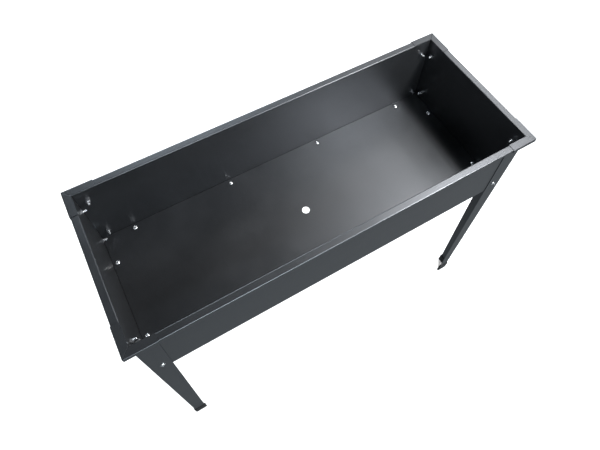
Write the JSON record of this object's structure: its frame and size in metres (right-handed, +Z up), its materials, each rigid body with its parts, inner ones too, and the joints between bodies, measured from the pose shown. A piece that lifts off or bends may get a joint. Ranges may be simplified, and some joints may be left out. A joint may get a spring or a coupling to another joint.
{
  "type": "raised planter on legs",
  "caption": "Long rectangular sheet-steel planting tray, open at the top, on tall tapered angle legs, with folded corner caps, a central drain hole and plastic foot caps.",
  "frame": {"origin": "on the ground under the middle of the planter", "axes": "+X along the planter's length, +Y to its back, +Z up"},
  "size_m": [1, 0.398, 0.8],
  "materials": {
    "powder_coated_steel": "satin anthracite powder coat",
    "zinc_plated_steel": "bright zinc plate",
    "black_plastic": "matte moulded plastic"
  },
  "bodies": {
    "root": {"front_panel": "powder_coated_steel", "back_panel": "powder_coated_steel", "left_end_panel": "powder_coated_steel", "right_end_panel": "powder_coated_steel", "tray_floor": "powder_coated_steel", "corner_cap_front_left": "powder_coated_steel", "leg_front_left": "powder_coated_steel", "foot_cap_front_left": "black_plastic", "corner_screws_front_left": "zinc_plated_steel", "corner_nuts_front_left": "zinc_plated_steel", "corner_cap_front_right": "powder_coated_steel", "leg_front_right": "powder_coated_steel", "foot_cap_front_right": "black_plastic", "corner_screws_front_right": "zinc_plated_steel", "corner_nuts_front_right": "zinc_plated_steel", "corner_cap_back_right": "powder_coated_steel", "leg_back_right": "powder_coated_steel", "foot_cap_back_right": "black_plastic", "corner_screws_back_right": "zinc_plated_steel", "corner_nuts_back_right": "zinc_plated_steel", "corner_cap_back_left": "powder_coated_steel", "leg_back_left": "powder_coated_steel", "foot_cap_back_left": "black_plastic", "corner_screws_back_left": "zinc_plated_steel", "corner_nuts_back_left": "zinc_plated_steel", "floor_screws_front": "zinc_plated_steel", "floor_nuts_front": "zinc_plated_steel", "floor_screws_back": "zinc_plated_steel", "floor_nuts_back": "zinc_plated_steel", "floor_screws_left": "zinc_plated_steel", "floor_nuts_left": "zinc_plated_steel", "floor_screws_right": "zinc_plated_steel", "floor_nuts_right": "zinc_plated_steel"}
  },
  "joints": []
}
